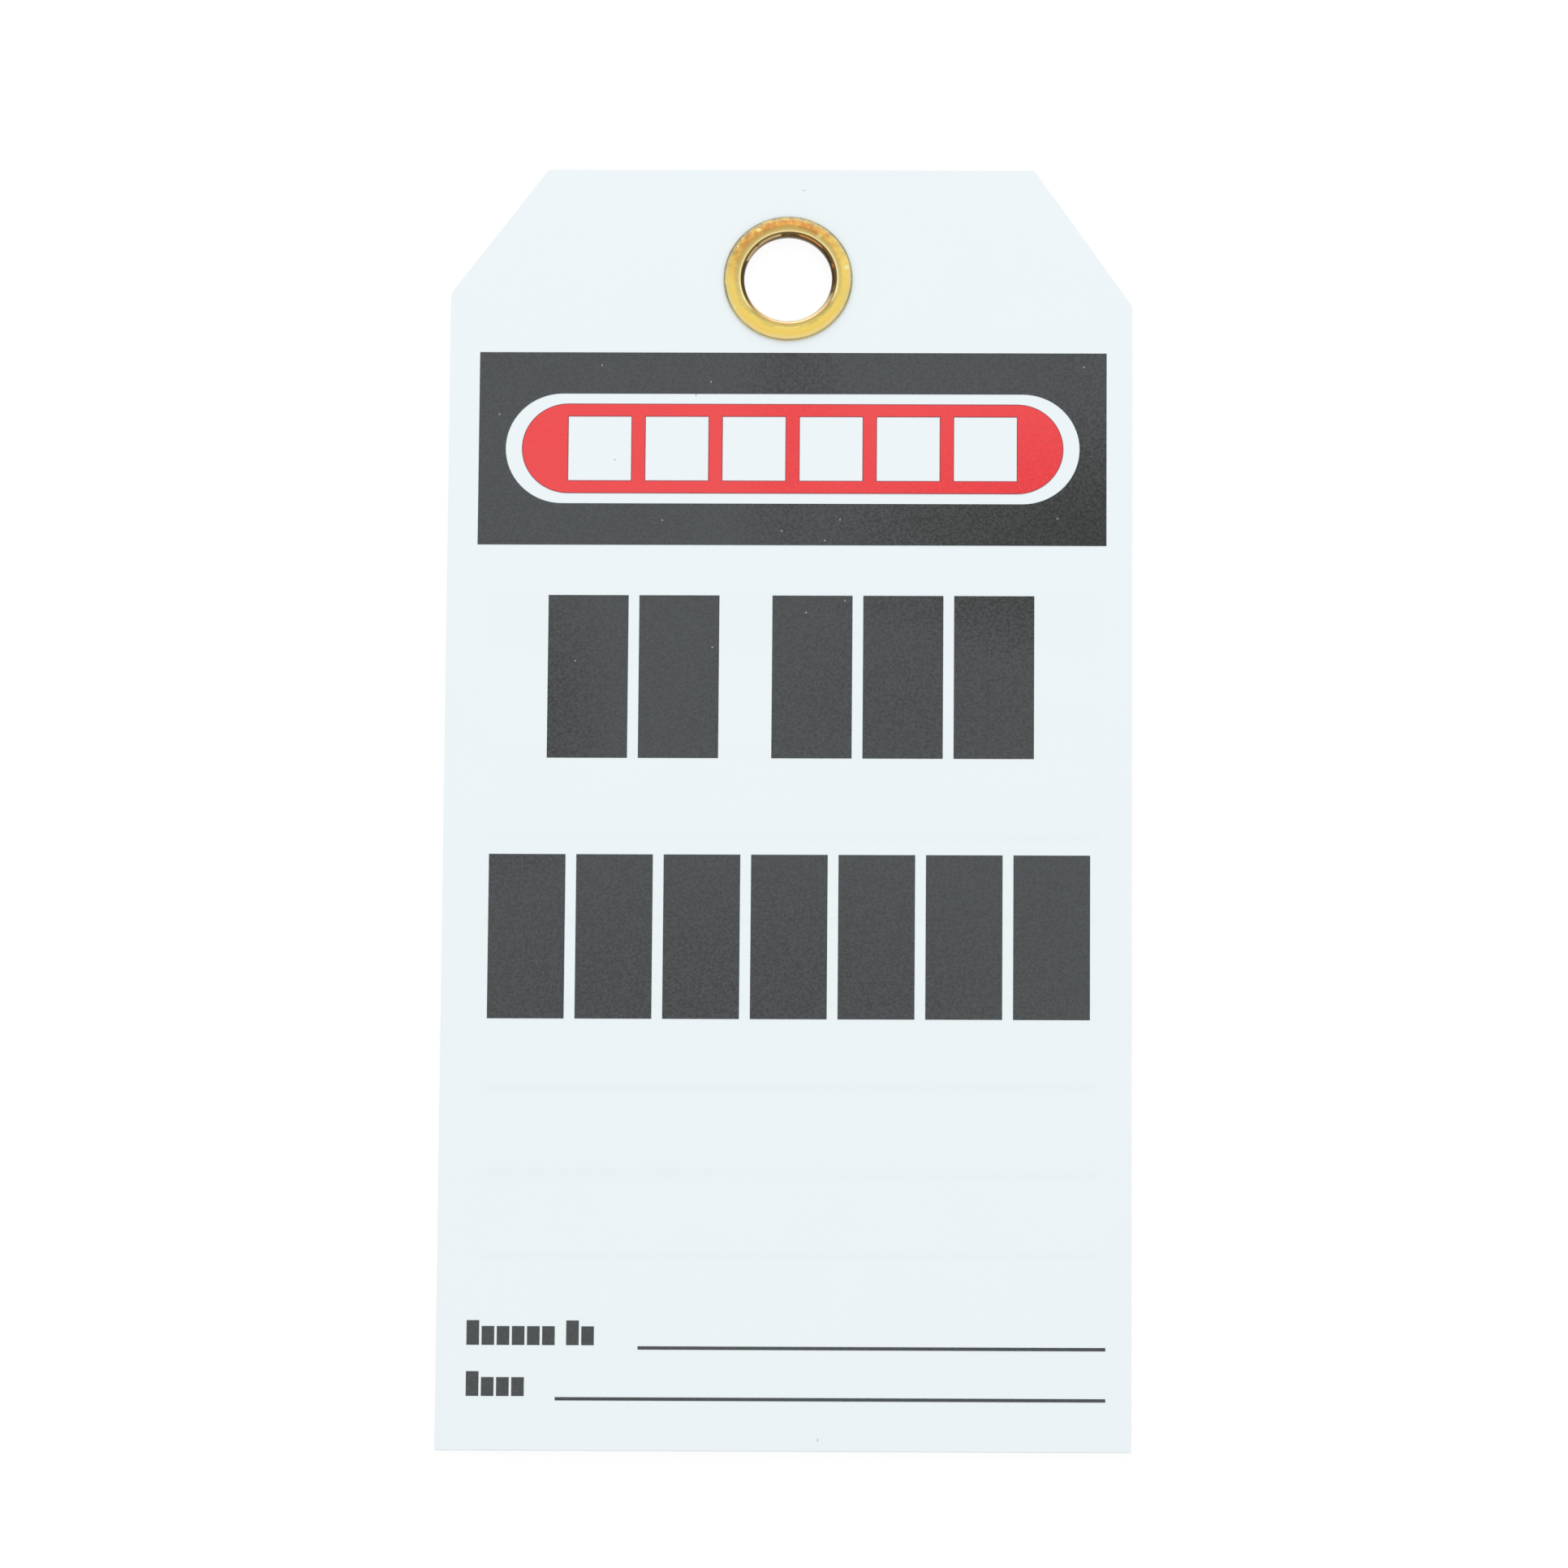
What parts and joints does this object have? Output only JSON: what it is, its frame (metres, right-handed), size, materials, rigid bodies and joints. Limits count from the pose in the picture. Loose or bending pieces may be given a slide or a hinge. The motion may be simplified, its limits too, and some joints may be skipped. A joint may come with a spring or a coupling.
{
  "type": "danger tag",
  "caption": "Flat vinyl safety tag with two cut corners, a rolled brass eyelet at the top, a black and red header, heavy message blocks, and ruled lines on both sides.",
  "frame": {"origin": "on the eyelet's axis, half way through the sheet's thickness", "axes": "+Y up the tag from its foot towards the eyelet, +X to the right as the front is read, +Z out of the printed front along the eyelet's axis"},
  "size_m": [0.0762, 0.146, 0.0017],
  "materials": {
    "white_vinyl": "smooth satin sheet, very faintly blue white",
    "eyelet_brass": "stamped, lightly tarnished",
    "black_ink": "satin printing ink with a fine grain and a few pinholes",
    "red_ink": "satin printing ink with a fine grain"
  },
  "bodies": {
    "root": {"tag_sheet": "white_vinyl", "eyelet": "eyelet_brass", "front_header_panel": "black_ink", "front_header_oval": "red_ink", "front_message_line_1": "black_ink", "front_message_line_2": "black_ink", "front_entry_labels": "black_ink", "front_entry_rules": "black_ink", "back_header_panel": "black_ink", "back_header_oval": "red_ink", "back_heading": "black_ink", "back_remark_label": "black_ink", "back_remark_rules": "black_ink"}
  },
  "joints": []
}
